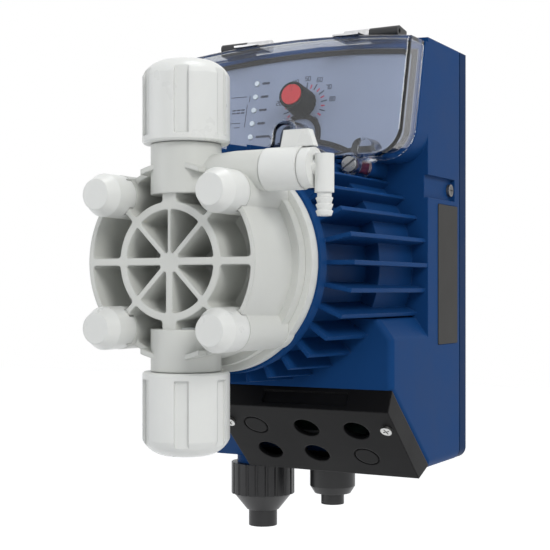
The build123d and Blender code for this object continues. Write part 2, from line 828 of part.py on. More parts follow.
with BuildPart() as pump_head:
    with BuildSketch(front_plane(head_back)):
        Circle(head_flange_radius)
    extrude(amount=barrel_start - head_back)
    with BuildSketch(front_plane(barrel_start)):
        Circle(head_radius + 0.8)
    with BuildSketch(front_plane(head_front)):
        Circle(head_radius)
    loft()
    with BuildSketch(front_plane(pocket_floor_depth)):
        add(outer_pockets.sketch)
        add(inner_pockets.sketch)
    extrude(amount=2 * pocket_depth, mode=Mode.SUBTRACT)
    with BuildSketch(front_plane(head_front - rim_drop)):
        for side_x in (-1, 1):
            for side_z in (-1, 1):
                with Locations((side_x * 18.0, side_z * 37.0)):
                    Rectangle(7.0, 13.0)
    extrude(amount=2 * rim_drop, mode=Mode.SUBTRACT)
    with BuildSketch(front_plane(head_back)):
        with Locations(*bolt_points):
            Circle(boss_radius)
    extrude(amount=boss_end_depth - head_back)
    with BuildSketch(front_plane(boss_end_depth)):
        with Locations(*bolt_points):
            Circle(boss_radius)
    extrude(amount=head_depth, mode=Mode.SUBTRACT)
    for side, boss_end in ((1, discharge_boss_end), (-1, suction_boss_end)):
        valve_plane = Plane(
            origin=(0, -valve_axis, head_z + side * valve_boss_start), x_dir=(1, 0, 0), z_dir=(0, 0, side)
        )
        with BuildSketch(valve_plane):
            Circle(valve_boss_radius)
        extrude(amount=boss_end - valve_boss_start)
        add(sleeve(valve_plane.offset(boss_end - valve_boss_start), spigot_length, spigot_radius))
    with BuildSketch(Plane(origin=(0, -valve_axis, head_z + branch_height), x_dir=(0, 1, 0), z_dir=(1, 0, 0))):
        Circle(branch_neck_radius)
    with BuildSketch(
        Plane(origin=(branch_shoulder, -valve_axis, head_z + branch_height), x_dir=(0, 1, 0), z_dir=(1, 0, 0))
    ):
        Circle(branch_radius)
    loft()
    add(along_x(branch_shoulder, branch_end - branch_shoulder, branch_radius, valve_axis, head_z + branch_height))
    with BuildSketch(front_plane(head_back)):
        Circle(chamber_radius)
    extrude(amount=chamber_depth, mode=Mode.SUBTRACT)
    for side, boss_end, bore_start in (
        (1, discharge_boss_end, discharge_start),
        (-1, suction_boss_end, suction_start),
    ):
        bore_plane = Plane(
            origin=(0, -valve_axis, head_z + side * bore_start), x_dir=(1, 0, 0), z_dir=(0, 0, side)
        )
        add(
            sleeve(bore_plane, boss_end + spigot_length - bore_start + 1, cartridge_radius),
            mode=Mode.SUBTRACT,
        )
        add(
            sleeve(bore_plane.offset(duct_reach - bore_start), bore_start - duct_reach + 1, duct_radius),
            mode=Mode.SUBTRACT,
        )
        add(
            sleeve(
                front_plane(head_back, head_z + side * duct_reach), valve_axis - head_back, duct_radius
            ),
            mode=Mode.SUBTRACT,
        )
    add(
        along_x(26.0, branch_end, 5.0, valve_axis, head_z + branch_height),
        mode=Mode.SUBTRACT,
    )
    add(along_x(4.0, branch_end, 1.5, valve_axis, head_z + branch_height), mode=Mode.SUBTRACT)
    with BuildSketch(front_plane(head_back)):
        with Locations(*bolt_points):
            Circle(bolt_radius + bolt_clearance)
    extrude(amount=2 * head_depth, mode=Mode.SUBTRACT)
save(pump_head.part, "pump_head")

bolt_head_height = 6.0
with BuildPart() as head_bolts:
    with BuildSketch(front_plane(boss_end_depth)):
        with Locations(*bolt_points):
            Circle(5.0)
    extrude(amount=bolt_head_height)
    with BuildSketch(front_plane(boss_end_depth)):
        with Locations(*bolt_points):
            Circle(bolt_radius - running_fit)
    extrude(amount=pillar_back + 4 - boss_end_depth)
    with BuildSketch(front_plane(boss_end_depth + bolt_head_height)):
        with Locations(*bolt_points):
            RegularPolygon(2.9, 6)
    extrude(amount=-3.5, mode=Mode.SUBTRACT)
save(head_bolts.part, "head_bolts")

with BuildPart() as bolt_caps:
    for x, z in bolt_points:
        with BuildSketch(front_plane(boss_end_depth, head_z + z, x)):
            Circle(cap_radius)
        extrude(amount=cap_length - 5.5)
        with BuildSketch(front_plane(boss_end_depth + cap_length - 5.5, head_z + z, x)):
            Circle(cap_radius)
        extrude(amount=5.5, taper=26)
        with BuildSketch(front_plane(boss_end_depth, head_z + z, x)):
            Circle(5.15)
        extrude(amount=bolt_head_height + 3, mode=Mode.SUBTRACT)
save(bolt_caps.part, "bolt_caps")

# --- valve cartridges --------------------------------------------------------------------------
seat_length = 6.0
guide_length = 18.5
plug_length = 6.0
cage_length = 9.0
cage_radius = 4.4
seat_bore = 2.6
plug_radius = cartridge_radius - seat_gap
nozzle_flange_radius = 12.5
nozzle_flange = 3.0
barb_radius = 2.2
barb_length = 14.0
nozzle_bore = 1.3
ball_seat_rise = 3.1
oring_wire = 0.9
oring_radius = plug_radius - oring_wire
nut_gap = 0.3
nut_thread_depth = spigot_length + nozzle_flange + seat_gap
nut_room_radius = 8.0
nut_room_end = 30.0
tube_hole_radius = 3.3
nut_flat_radius = 6.8
nut_dome_start = 28.3
clamp_ring_length = 8.0
clamp_ring_bore_radius = 3.6

seats = []
guides = []
orings = []
clamp_rings = []

for valve_name, side, boss_end, bore_start in (
    ("discharge", 1, discharge_boss_end, discharge_start),
    ("suction", -1, suction_boss_end, suction_start),
):
    stack_plane = Plane(
        origin=(0, -valve_axis, head_z + side * bore_start), x_dir=(1, 0, 0), z_dir=(0, 0, side)
    )
    seat_at = 0.0 if side > 0 else guide_length
    guide_at = seat_length if side > 0 else 0.0
    cage_at = guide_at if side > 0 else guide_length - cage_length
    ball_at = seat_length + ball_seat_rise if side > 0 else guide_length - ball_seat_rise
    spigot_end = boss_end + spigot_length - bore_start

    seats.append(sleeve(stack_plane.offset(seat_at), seat_length, plug_radius, seat_bore))

    with BuildPart() as valve_guide:
        add(sleeve(stack_plane.offset(guide_at), guide_length, plug_radius, duct_radius))
        add(sleeve(stack_plane.offset(cage_at), cage_length, cage_radius), mode=Mode.SUBTRACT)
    guides.append(valve_guide.part)

    with BuildPart() as valve_ball:
        with Locations(stack_plane.offset(ball_at).origin):
            Sphere(ball_radius)
    save(valve_ball.part, f"{valve_name}_ball")

    with BuildPart() as nozzle:
        add(sleeve(stack_plane.offset(spigot_end - plug_length), plug_length, plug_radius))
        add(sleeve(stack_plane.offset(spigot_end), nozzle_flange, nozzle_flange_radius))
        add(sleeve(stack_plane.offset(spigot_end + nozzle_flange), barb_length, barb_radius))
        add(
            sleeve(
                stack_plane.offset(spigot_end - plug_length),
                plug_length + nozzle_flange + barb_length,
                nozzle_bore,
            ),
            mode=Mode.SUBTRACT,
        )
        add(
            sleeve(
                stack_plane.offset(spigot_end - 3.4),
                2 * oring_wire + seat_gap,
                plug_radius + 1,
                oring_radius - oring_wire - 0.05,
            ),
            mode=Mode.SUBTRACT,
        )
    save(nozzle.part, f"{valve_name}_nozzle")

    with BuildPart() as oring:
        with Locations(stack_plane.offset(spigot_end - 3.4 + oring_wire + seat_gap / 2).origin):
            Torus(oring_radius, oring_wire)
    orings.append(oring.part)

    nut_plane = stack_plane.offset(boss_end - bore_start + nut_gap)
    with BuildPart() as union_nut:
        with BuildSketch(Plane(origin=nut_plane.origin, x_dir=(1, 0, 0), z_dir=(0, -side, 0))):
            with BuildLine():
                Line((0, 0), (nut_radius - 0.8, 0))
                Line((nut_radius - 0.8, 0), (nut_radius, 0.8))
                Line((nut_radius, 0.8), (nut_radius, nut_dome_start))
                ThreePointArc(
                    (nut_radius, nut_dome_start),
                    (nut_radius - 3.9, nut_length - 2.1),
                    (nut_flat_radius, nut_length),
                )
                Line((nut_flat_radius, nut_length), (0, nut_length))
                Line((0, nut_length), (0, 0))
            make_face()
        revolve(axis=Axis((0, -valve_axis, 0), (0, 0, 1)))
        with BuildSketch(nut_plane.offset(3.0)):
            with PolarLocations(nut_radius, nut_grooves, start_angle=-63 * side):
                Rectangle(3.0, 5.8)
        extrude(amount=nut_length, mode=Mode.SUBTRACT)
        add(sleeve(nut_plane, nut_thread_depth, spigot_radius + seat_gap), mode=Mode.SUBTRACT)
        add(sleeve(nut_plane, nut_room_end, nut_room_radius), mode=Mode.SUBTRACT)
        add(sleeve(nut_plane, nut_length + 1, tube_hole_radius), mode=Mode.SUBTRACT)
    save(union_nut.part, f"{valve_name}_union_nut")

    clamp_rings.append(
        sleeve(
            nut_plane.offset(nut_room_end - clamp_ring_length - seat_gap),
            clamp_ring_length,
            nut_room_radius - seat_gap,
            clamp_ring_bore_radius,
        )
    )

for group_name, group in (
    ("valve_seats", seats),
    ("ball_guides", guides),
    ("nozzle_orings", orings),
    ("tube_clamp_rings", clamp_rings),
):
    with BuildPart() as pair:
        for member in group:
            add(member)
    save(pair.part, group_name)

# --- bleed valve -------------------------------------------------------------------------------
branch_z = head_z + branch_height
bleed_bore = 1.5
bleed_stem_radius = 5.0
bleed_knob_radius = 8.8
bleed_knob_start = 40.1
bleed_knob_end = 56.6
bleed_disc_end = 61.5
bleed_spout_x = 65.7
bleed_spout_radius = 3.9
bleed_spout_top = 42.4
bleed_spout_low = 26.9
bleed_stub_radius = 2.9
bleed_stub_low = 17.6
wing_thickness = 4.0

with BuildPart() as bleed_stem:
    add(
        along_x(
            26.0, bleed_disc_end - 26.0 - 2.0, bleed_stem_radius - running_fit, valve_axis, branch_z, bleed_bore
        )
    )
save(bleed_stem.part, "bleed_stem")

with BuildPart() as bleed_knob:
    add(
        along_x(
            bleed_knob_start,
            bleed_knob_end - bleed_knob_start,
            bleed_knob_radius,
            valve_axis,
            branch_z,
        )
    )
    with BuildSketch(front_plane(valve_axis - wing_thickness / 2, 0)):
        with BuildLine():
            Polyline(
                (45.5, branch_z + 3),
                (bleed_knob_end, branch_z + 3),
                (bleed_knob_end, branch_z + bleed_knob_radius - 0.3),
                (62.0, branch_z + bleed_knob_radius - 0.3),
                (59.5, branch_z + 15.5),
                (48.2, branch_z + 15.5),
                close=True,
            )
        make_face()
    extrude(amount=wing_thickness)
    add(
        along_x(bleed_knob_start - 1, 20.0, bleed_stem_radius + running_fit, valve_axis, branch_z),
        mode=Mode.SUBTRACT,
    )
save(bleed_knob.part, "bleed_knob")

with BuildPart() as bleed_elbow:
    with BuildSketch(Plane(origin=(bleed_spout_x, -valve_axis, head_z), x_dir=(1, 0, 0), z_dir=(0, -1, 0))):
        with BuildLine():
            Polyline(
                (0, bleed_stub_low),
                (bleed_stub_radius, bleed_stub_low),
                (bleed_stub_radius, bleed_spout_low),
                (bleed_spout_radius, bleed_spout_low),
                (bleed_spout_radius, bleed_spout_top),
                (0, bleed_spout_top),
                close=True,
            )
        make_face()
    revolve(axis=Axis((bleed_spout_x, -valve_axis, 0), (0, 0, 1)))
    add(along_x(bleed_knob_end + 0.3, bleed_disc_end - bleed_knob_end - 0.3, 8.2, valve_axis, branch_z))
    add(along_x(bleed_disc_end - 1, bleed_spout_x - bleed_disc_end - 0.5, 3.2, valve_axis, branch_z))
    add(
        along_x(bleed_knob_end, bleed_disc_end - 2 - bleed_knob_end, bleed_stem_radius, valve_axis, branch_z),
        mode=Mode.SUBTRACT,
    )
    add(
        along_x(bleed_knob_end, bleed_spout_x - bleed_knob_end - 0.4, bleed_bore, valve_axis, branch_z),
        mode=Mode.SUBTRACT,
    )
    add(
        sleeve(
            up_plane(head_z + bleed_stub_low - 1, bleed_spout_x, valve_axis),
            branch_height - bleed_stub_low + 1.7,
            bleed_bore + 0.1,
        ),
        mode=Mode.SUBTRACT,
    )
save(bleed_elbow.part, "bleed_elbow")

# --- solenoid ----------------------------------------------------------------------------------
yoke_back = 64.0
yoke_wall = 3.0
yoke_radius = 38.0
yoke_floor = 69.9
plate_back = 116.0
core_back = 108.0
plunger_back = 72.0
plunger_front = 106.4
spring_seat = 91.4
spring_room = 7.6
spring_radius = 6.3
spring_wire = 0.7
spring_turns = 6
bush_radius = 8.0
hub_back = 139.5
hub_radius = 9.0

with BuildPart() as solenoid_yoke:
    add(sleeve(front_plane(yoke_back), plate_back - yoke_back, yoke_radius))
    add(
        sleeve(front_plane(yoke_floor), plate_back - yoke_floor, yoke_radius - yoke_wall),
        mode=Mode.SUBTRACT,
    )
save(solenoid_yoke.part, "solenoid_yoke")

save(
    sleeve(front_plane(plate_back), pillar_back - plate_back, yoke_radius, bush_radius),
    "yoke_front_plate",
)
save(
    sleeve(front_plane(core_back), plate_back - core_back, plunger_radius - seat_gap, bush_radius),
    "pole_core",
)
save(
    sleeve(
        front_plane(core_back),
        pillar_back + 2 - core_back,
        bush_radius - running_fit,
        rod_radius + running_fit,
    ),
    "guide_bush",
)

with BuildPart() as coil_bobbin:
    add(sleeve(front_plane(70.0), 44.0, 16.5, plunger_radius))
    add(sleeve(front_plane(70.0), 3.0, 34.8, plunger_radius))
    add(sleeve(front_plane(111.0), 3.0, 34.8, plunger_radius))
save(coil_bobbin.part, "coil_bobbin")
save(sleeve(front_plane(73.1), 37.8, 32.0, 16.6), "solenoid_coil")

with BuildPart() as plunger:
    add(sleeve(front_plane(plunger_back), plunger_front - plunger_back, plunger_radius - running_fit))
    add(sleeve(front_plane(80.0), spring_seat - 80.0, rod_radius), mode=Mode.SUBTRACT)
    add(sleeve(front_plane(spring_seat), plunger_front - spring_seat, spring_room), mode=Mode.SUBTRACT)
save(plunger.part, "plunger")

save(sleeve(front_plane(80.0), 143.0 - 80.0, rod_radius), "push_rod")
save(sleeve(front_plane(yoke_floor), 2.0, 10.0), "plunger_buffer")

with BuildPart() as diaphragm_hub:
    add(sleeve(front_plane(hub_back), diaphragm_back - seat_gap - hub_back, hub_radius))
    add(sleeve(front_plane(hub_back), 143.0 - hub_back, rod_radius), mode=Mode.SUBTRACT)
save(diaphragm_hub.part, "diaphragm_hub")

spring_length = core_back - spring_seat - 2 * spring_wire - 0.3
with BuildPart() as return_spring:
    with BuildLine() as coil_path:
        Helix(pitch=spring_length / spring_turns, height=spring_length, radius=spring_radius)
    with BuildSketch(Plane(origin=coil_path.line @ 0, z_dir=coil_path.line % 0)):
        Circle(spring_wire)
    sweep(is_frenet=True)
spring_place = Plane(
    origin=(0, -(spring_seat + spring_wire + 0.1), head_z), x_dir=(1, 0, 0), z_dir=(0, -1, 0)
)
save(spring_place.location * return_spring.part, "return_spring")

# --- terminals ---------------------------------------------------------------------------------
terminal_outline = (
    (-lower_box_front, front_low_z),
    (-terminal_lip_depth, terminal_lip_z),
    (-terminal_low_depth, terminal_low_z),
    (-slope_low_depth, slope_low_z),
)
face_angle = degrees(atan2(terminal_lip_z - terminal_low_z, terminal_lip_depth - terminal_low_depth))
face_plane = Plane(
    origin=(
        0,
        -(terminal_lip_depth + terminal_low_depth) / 2,
        (terminal_lip_z + terminal_low_z) / 2,
    ),
    x_dir=(1, 0, 0),
    z_dir=(0, -sin(radians(face_angle)), -cos(radians(face_angle))),
)
knockouts_open = [(15.7, 10.0), (42.0, 10.0), (-12.0, -10.1), (14.0, -10.1)]
knockouts_shut = [(-12.0, 10.0), (40.5, -10.1)]
cover_screw_points = [(terminal_cover_left + 5.0, 12.5), (half_width - 4.6, 12.5)]
band_left = -3.5
band_right = 41.4
band_height = 6.4
band_floor = 1.0
lip_angle = degrees(atan2(front_low_z - terminal_lip_z, terminal_lip_depth - lower_box_front))
lip_plane = Plane(
    origin=(0, -(terminal_lip_depth + lower_box_front) / 2, (terminal_lip_z + front_low_z) / 2),
    x_dir=(1, 0, 0),
    z_dir=(0, -sin(radians(lip_angle)), cos(radians(lip_angle))),
)

with BuildPart() as terminal_cover:
    with BuildSketch(Plane.YZ.offset(terminal_cover_left)):
        with BuildLine():
            Polyline(*terminal_outline, (-slope_top_depth, slope_top_z), close=True)
        make_face()
    extrude(amount=terminal_width)
    with BuildSketch(Plane.YZ.offset(terminal_cover_left + terminal_wall)):
        with BuildLine():
            Polyline(*terminal_outline, (-78.0, -52.0), close=True)
        make_face()
        offset(amount=-terminal_wall, kind=Kind.INTERSECTION, mode=Mode.REPLACE)
    extrude(amount=terminal_width - 2 * terminal_wall, mode=Mode.SUBTRACT)
    with BuildSketch(face_plane.offset(-terminal_wall)):
        with Locations(*cover_screw_points):
            Circle(3.4)
    extrude(amount=-7.0)
    add(case_blank.part, mode=Mode.SUBTRACT)
    with BuildSketch(lip_plane):
        with Locations(((band_left + band_right) / 2, 0)):
            RectangleRounded(band_right - band_left, band_height, 1.0)
    extrude(amount=-band_floor, mode=Mode.SUBTRACT)
    with BuildSketch(face_plane):
        with Locations(*knockouts_open):
            Circle(knockout_radius)
    extrude(amount=-terminal_wall - 1, mode=Mode.SUBTRACT)
    with BuildSketch(face_plane):
        with Locations(*knockouts_shut):
            Circle(knockout_radius)
            Circle(knockout_radius - 0.8, mode=Mode.SUBTRACT)
    extrude(amount=-0.8, mode=Mode.SUBTRACT)
    with BuildSketch(face_plane):
        with Locations(*cover_screw_points):
            Circle(1.7)
    extrude(amount=-20.0, mode=Mode.SUBTRACT)
save(terminal_cover.part, "terminal_cover")

with BuildPart() as terminal_cover_screws:
    for u, v in cover_screw_points:
        with BuildSketch(face_plane.shift_origin(face_plane.from_local_coords((u, v, 0)))):
            Circle(2.7)
        extrude(amount=1.4)
        with BuildSketch(face_plane.shift_origin(face_plane.from_local_coords((u, v, 0)))):
            Circle(1.5)
        extrude(amount=-8.0)
        with BuildSketch(face_plane.offset(1.4)):
            with Locations((u, v)):
                Rectangle(3.6, 0.7, rotation=20)
                Rectangle(3.6, 0.7, rotation=110)
        extrude(amount=-0.8, mode=Mode.SUBTRACT)
save(terminal_cover_screws.part, "terminal_cover_screws")

with BuildPart() as terminal_board:
    with BuildSketch(slope_plane.offset(terminal_board_low)):
        with Locations((terminal_x, 0)):
            RectangleRounded(pocket_width - 1, pocket_height - 1, 2.5)
    extrude(amount=1.6)
save(terminal_board.part, "terminal_board")

with BuildPart() as terminal_block:
    with BuildSketch(slope_plane.offset(terminal_board_low + 1.6)):
        with Locations((terminal_x, -6.0)):
            Rectangle(46.0, 11.0)
    extrude(amount=9.0)
    with BuildSketch(slope_plane.offset(terminal_board_low + 10.6)):
        with Locations((terminal_x, -6.0)):
            with GridLocations(5.0, 5.0, 9, 1):
                Circle(1.7)
    extrude(amount=-4.0, mode=Mode.SUBTRACT)
save(terminal_block.part, "terminal_block")

# --- cable gland and level socket --------------------------------------------------------------
bottom_z = -half_height - gland_boss_height
gland_nut_top = -110.4
gland_nut_low = -127.0
gland_cone_low = -135.7
gland_end = -144.3
gland_bore = 4.5
gland_ribs = 20
gland_thread_radius = 8.0
gland_lock_height = 3.0

with BuildPart() as gland_body:
    add(
        sleeve(
            up_plane(gland_nut_low + 9.0, gland_x, gland_depth),
            wall - half_height + gland_lock_height - gland_nut_low - 9.0,
            gland_thread_radius,
            gland_bore + 1,
        )
    )
    add(
        sleeve(
            up_plane(wall - half_height, gland_x, gland_depth),
            gland_lock_height,
            11.0,
            gland_bore + 1,
        )
    )
save(gland_body.part, "gland_body")

with BuildPart() as gland_nut:
    with BuildSketch(up_plane(gland_nut_low, gland_x, gland_depth)):
        Circle(gland_radius)
        with PolarLocations(gland_radius + 0.3, gland_ribs):
            Circle(1.0, mode=Mode.SUBTRACT)
    extrude(amount=gland_nut_top - gland_nut_low)
    with BuildSketch(up_plane(gland_nut_low, gland_x, gland_depth)):
        Circle(gland_radius - 1.2)
    with BuildSketch(up_plane(gland_cone_low, gland_x, gland_depth)):
        Circle(8.65)
    loft()
    add(sleeve(up_plane(gland_end, gland_x, gland_depth), gland_cone_low - gland_end, 7.6))
    add(sleeve(up_plane(-118.0, gland_x, gland_depth), 10.0, 8.1), mode=Mode.SUBTRACT)
    add(sleeve(up_plane(-128.0, gland_x, gland_depth), 10.5, 7.0), mode=Mode.SUBTRACT)
    add(sleeve(up_plane(gland_end - 1, gland_x, gland_depth), 20.0, gland_bore), mode=Mode.SUBTRACT)
save(gland_nut.part, "gland_nut")

save(
    sleeve(up_plane(-127.9, gland_x, gland_depth), 9.7, 6.9, gland_bore),
    "gland_seal",
)

with BuildPart() as level_socket:
    with BuildSketch(up_plane(-120.0, socket_x, gland_depth)):
        Circle(11.75)
    extrude(amount=120.0 - half_height - seat_gap)
    with BuildSketch(up_plane(-123.7, socket_x, gland_depth)):
        Circle(9.4)
    with BuildSketch(up_plane(-120.0, socket_x, gland_depth)):
        Circle(11.75)
    loft()
    add(sleeve(up_plane(-half_height - 1, socket_x, gland_depth), 9.0, 6.1))
    add(sleeve(up_plane(-125.0, socket_x, gland_depth), 16.0, 4.0), mode=Mode.SUBTRACT)
save(level_socket.part, "level_socket")

with BuildPart() as socket_cap:
    add(sleeve(up_plane(-129.4, socket_x, gland_depth), 129.4 - 123.8, 6.0))
    add(sleeve(up_plane(-124.0, socket_x, gland_depth), 12.0, 3.9))
save(socket_cap.part, "socket_cap")

# --- power board -------------------------------------------------------------------------------
post_depth = 22.0
board_z = -62.0
power_points = [(x, board_z + z) for x in (-40.0, 40.0) for z in (-24.0, 24.0)]
with BuildPart() as power_board:
    with BuildSketch(front_plane(post_depth, 0)):
        with Locations((0, board_z)):
            Rectangle(96.0, 60.0)
        with Locations(*power_points):
            Circle(1.7, mode=Mode.SUBTRACT)
    extrude(amount=1.6)
save(power_board.part, "power_board")

with BuildPart() as board_screws:
    with BuildSketch(front_plane(post_depth + 1.6, 0)):
        with Locations(*power_points):
            Circle(2.8)
    extrude(amount=1.8)
    with BuildSketch(front_plane(post_depth + 1.6, 0)):
        with Locations(*power_points):
            Circle(1.4)
    extrude(amount=-8.0)
save(board_screws.part, "board_screws")

with BuildPart() as transformer:
    with BuildSketch(front_plane(post_depth + 1.6, 0)):
        with Locations((12.0, board_z)):
            RectangleRounded(36.0, 30.0, 1.5)
    extrude(amount=18.0)
    with BuildSketch(front_plane(post_depth + 1.6, 0)):
        with Locations((12.0, board_z)):
            Rectangle(24.0, 40.0)
    extrude(amount=12.0)
save(transformer.part, "transformer")
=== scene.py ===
"""Looks of a diaphragm metering pump: finishes, printed dial and lamp marks, hose barbs and the setting."""

import json
import math

import bmesh
import bpy
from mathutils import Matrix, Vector


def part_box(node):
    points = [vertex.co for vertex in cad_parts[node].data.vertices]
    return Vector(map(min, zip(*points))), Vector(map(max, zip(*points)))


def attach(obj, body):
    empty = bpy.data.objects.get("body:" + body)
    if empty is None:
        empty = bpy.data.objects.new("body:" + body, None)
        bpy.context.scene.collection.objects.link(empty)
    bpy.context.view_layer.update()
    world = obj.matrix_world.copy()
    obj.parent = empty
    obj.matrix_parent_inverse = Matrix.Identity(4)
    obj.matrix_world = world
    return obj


MM = 0.001

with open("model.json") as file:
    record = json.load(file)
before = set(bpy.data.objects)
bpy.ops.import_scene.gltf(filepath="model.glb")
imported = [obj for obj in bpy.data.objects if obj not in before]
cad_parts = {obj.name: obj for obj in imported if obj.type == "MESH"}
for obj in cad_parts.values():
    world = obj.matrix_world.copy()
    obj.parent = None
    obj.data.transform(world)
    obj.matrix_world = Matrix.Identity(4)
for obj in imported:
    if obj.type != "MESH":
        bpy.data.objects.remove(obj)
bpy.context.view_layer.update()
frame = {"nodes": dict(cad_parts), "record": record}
nodes = frame["nodes"]


# ---------------------------------------------------------------- node groups


def new_group(name, inputs, outputs):
    """A shader node group with its group input and output nodes."""
    tree = bpy.data.node_groups.new(name, "ShaderNodeTree")
    for label, kind, value in inputs:
        socket = tree.interface.new_socket(name=label, in_out="INPUT", socket_type=kind)
        if value is not None:
            socket.default_value = value
    for label, kind in outputs:
        tree.interface.new_socket(name=label, in_out="OUTPUT", socket_type=kind)
    return tree, tree.nodes.new("NodeGroupInput"), tree.nodes.new("NodeGroupOutput")


def noise(tree, vector, scale, detail=3.0, roughness=0.5):
    node = tree.nodes.new("ShaderNodeTexNoise")
    node.inputs["Scale"].default_value = scale
    node.inputs["Detail"].default_value = detail
    node.inputs["Roughness"].default_value = roughness
    tree.links.new(vector, node.inputs["Vector"])
    return node.outputs["Fac"]


def maths(tree, operation, a, b=None, clamp=False):
    node = tree.nodes.new("ShaderNodeMath")
    node.operation = operation
    node.use_clamp = clamp
    for slot, value in enumerate((a, b)):
        if value is None:
            continue
        if isinstance(value, (int, float)):
            node.inputs[slot].default_value = value
        else:
            tree.links.new(value, node.inputs[slot])
    return node.outputs[0]


def remap(tree, value, low, high, to_low, to_high):
    node = tree.nodes.new("ShaderNodeMapRange")
    for label, number in (("From Min", low), ("From Max", high), ("To Min", to_low), ("To Max", to_high)):
        node.inputs[label].default_value = number
    tree.links.new(value, node.inputs["Value"])
    return node.outputs["Result"]


def moulded_group():
    """Soft moulded edges, a fine sparked grain, slow flow clouds and the rub marks that edges gather."""
    tree, start, end = new_group(
        "moulded surface",
        [
            ("Edge", "NodeSocketFloat", 0.0006),
            ("Grain", "NodeSocketFloat", 0.1),
            ("Grain Scale", "NodeSocketFloat", 2500.0),
        ],
        [("Normal", "NodeSocketVector"), ("Cloud", "NodeSocketFloat"), ("Rub", "NodeSocketFloat")],
    )
    place = tree.nodes.new("ShaderNodeTexCoord").outputs["Object"]
    bevel = tree.nodes.new("ShaderNodeBevel")
    bevel.samples = 6
    tree.links.new(start.outputs["Edge"], bevel.inputs["Radius"])
    grain = noise(tree, place, 2500.0, 2.0)
    tree.links.new(start.outputs["Grain Scale"], tree.nodes[-1].inputs["Scale"])
    bump = tree.nodes.new("ShaderNodeBump")
    bump.inputs["Distance"].default_value = 0.00008
    tree.links.new(start.outputs["Grain"], bump.inputs["Strength"])
    tree.links.new(grain, bump.inputs["Height"])
    tree.links.new(bevel.outputs["Normal"], bump.inputs["Normal"])
    cloud = remap(tree, noise(tree, place, 38.0, 4.0, 0.6), 0.3, 0.7, 0.0, 1.0)
    geometry = tree.nodes.new("ShaderNodeNewGeometry")
    facing = tree.nodes.new("ShaderNodeVectorMath")
    facing.operation = "DOT_PRODUCT"
    tree.links.new(bevel.outputs["Normal"], facing.inputs[0])
    tree.links.new(geometry.outputs["Normal"], facing.inputs[1])
    edge = remap(tree, facing.outputs["Value"], 0.999, 0.9, 0.0, 1.0)
    patches = remap(tree, noise(tree, place, 260.0, 3.0, 0.7), 0.5, 0.75, 0.0, 1.0)
    rub = maths(tree, "MULTIPLY", edge, patches, clamp=True)
    tree.links.new(bump.outputs["Normal"], end.inputs["Normal"])
    tree.links.new(cloud, end.inputs["Cloud"])
    tree.links.new(rub, end.inputs["Rub"])
    return tree


def brushed_group():
    """Fine drawn lines and faint handling marks on metal."""
    tree, start, end = new_group(
        "drawn metal",
        [("Edge", "NodeSocketFloat", 0.0003), ("Depth", "NodeSocketFloat", 0.2)],
        [("Normal", "NodeSocketVector"), ("Marks", "NodeSocketFloat")],
    )
    place = tree.nodes.new("ShaderNodeTexCoord").outputs["Object"]
    stretch = tree.nodes.new("ShaderNodeMapping")
    stretch.inputs["Scale"].default_value = (1.0, 0.06, 1.0)
    tree.links.new(place, stretch.inputs["Vector"])
    lines = noise(tree, stretch.outputs["Vector"], 3200.0, 2.0)
    bevel = tree.nodes.new("ShaderNodeBevel")
    bevel.samples = 4
    tree.links.new(start.outputs["Edge"], bevel.inputs["Radius"])
    bump = tree.nodes.new("ShaderNodeBump")
    bump.inputs["Distance"].default_value = 0.00005
    tree.links.new(start.outputs["Depth"], bump.inputs["Strength"])
    tree.links.new(lines, bump.inputs["Height"])
    tree.links.new(bevel.outputs["Normal"], bump.inputs["Normal"])
    marks = remap(tree, noise(tree, place, 420.0, 4.0, 0.65), 0.35, 0.7, 0.0, 1.0)
    tree.links.new(bump.outputs["Normal"], end.inputs["Normal"])
    tree.links.new(marks, end.inputs["Marks"])
    return tree


MOULDED = moulded_group()
DRAWN = brushed_group()


# ---------------------------------------------------------------- materials


def blank(name):
    material = bpy.data.materials.new(name)
    material.use_nodes = True
    return material, material.node_tree, material.node_tree.nodes["Principled BSDF"]


def two_colours(tree, amount, first, second):
    node = tree.nodes.new("ShaderNodeMix")
    node.data_type = "RGBA"
    node.inputs["A"].default_value = (*first, 1.0)
    node.inputs["B"].default_value = (*second, 1.0)
    tree.links.new(amount, node.inputs["Factor"])
    return node.outputs["Result"]


def over(tree, amount, under, colour):
    """A colour laid over another by a mask."""
    node = tree.nodes.new("ShaderNodeMix")
    node.data_type = "RGBA"
    node.inputs["B"].default_value = (*colour, 1.0)
    tree.links.new(under, node.inputs["A"])
    tree.links.new(amount, node.inputs["Factor"])
    return node.outputs["Result"]


WORN_SHADE, WORN_SHARE = 0.75, 0.35
TARNISH = 0.82


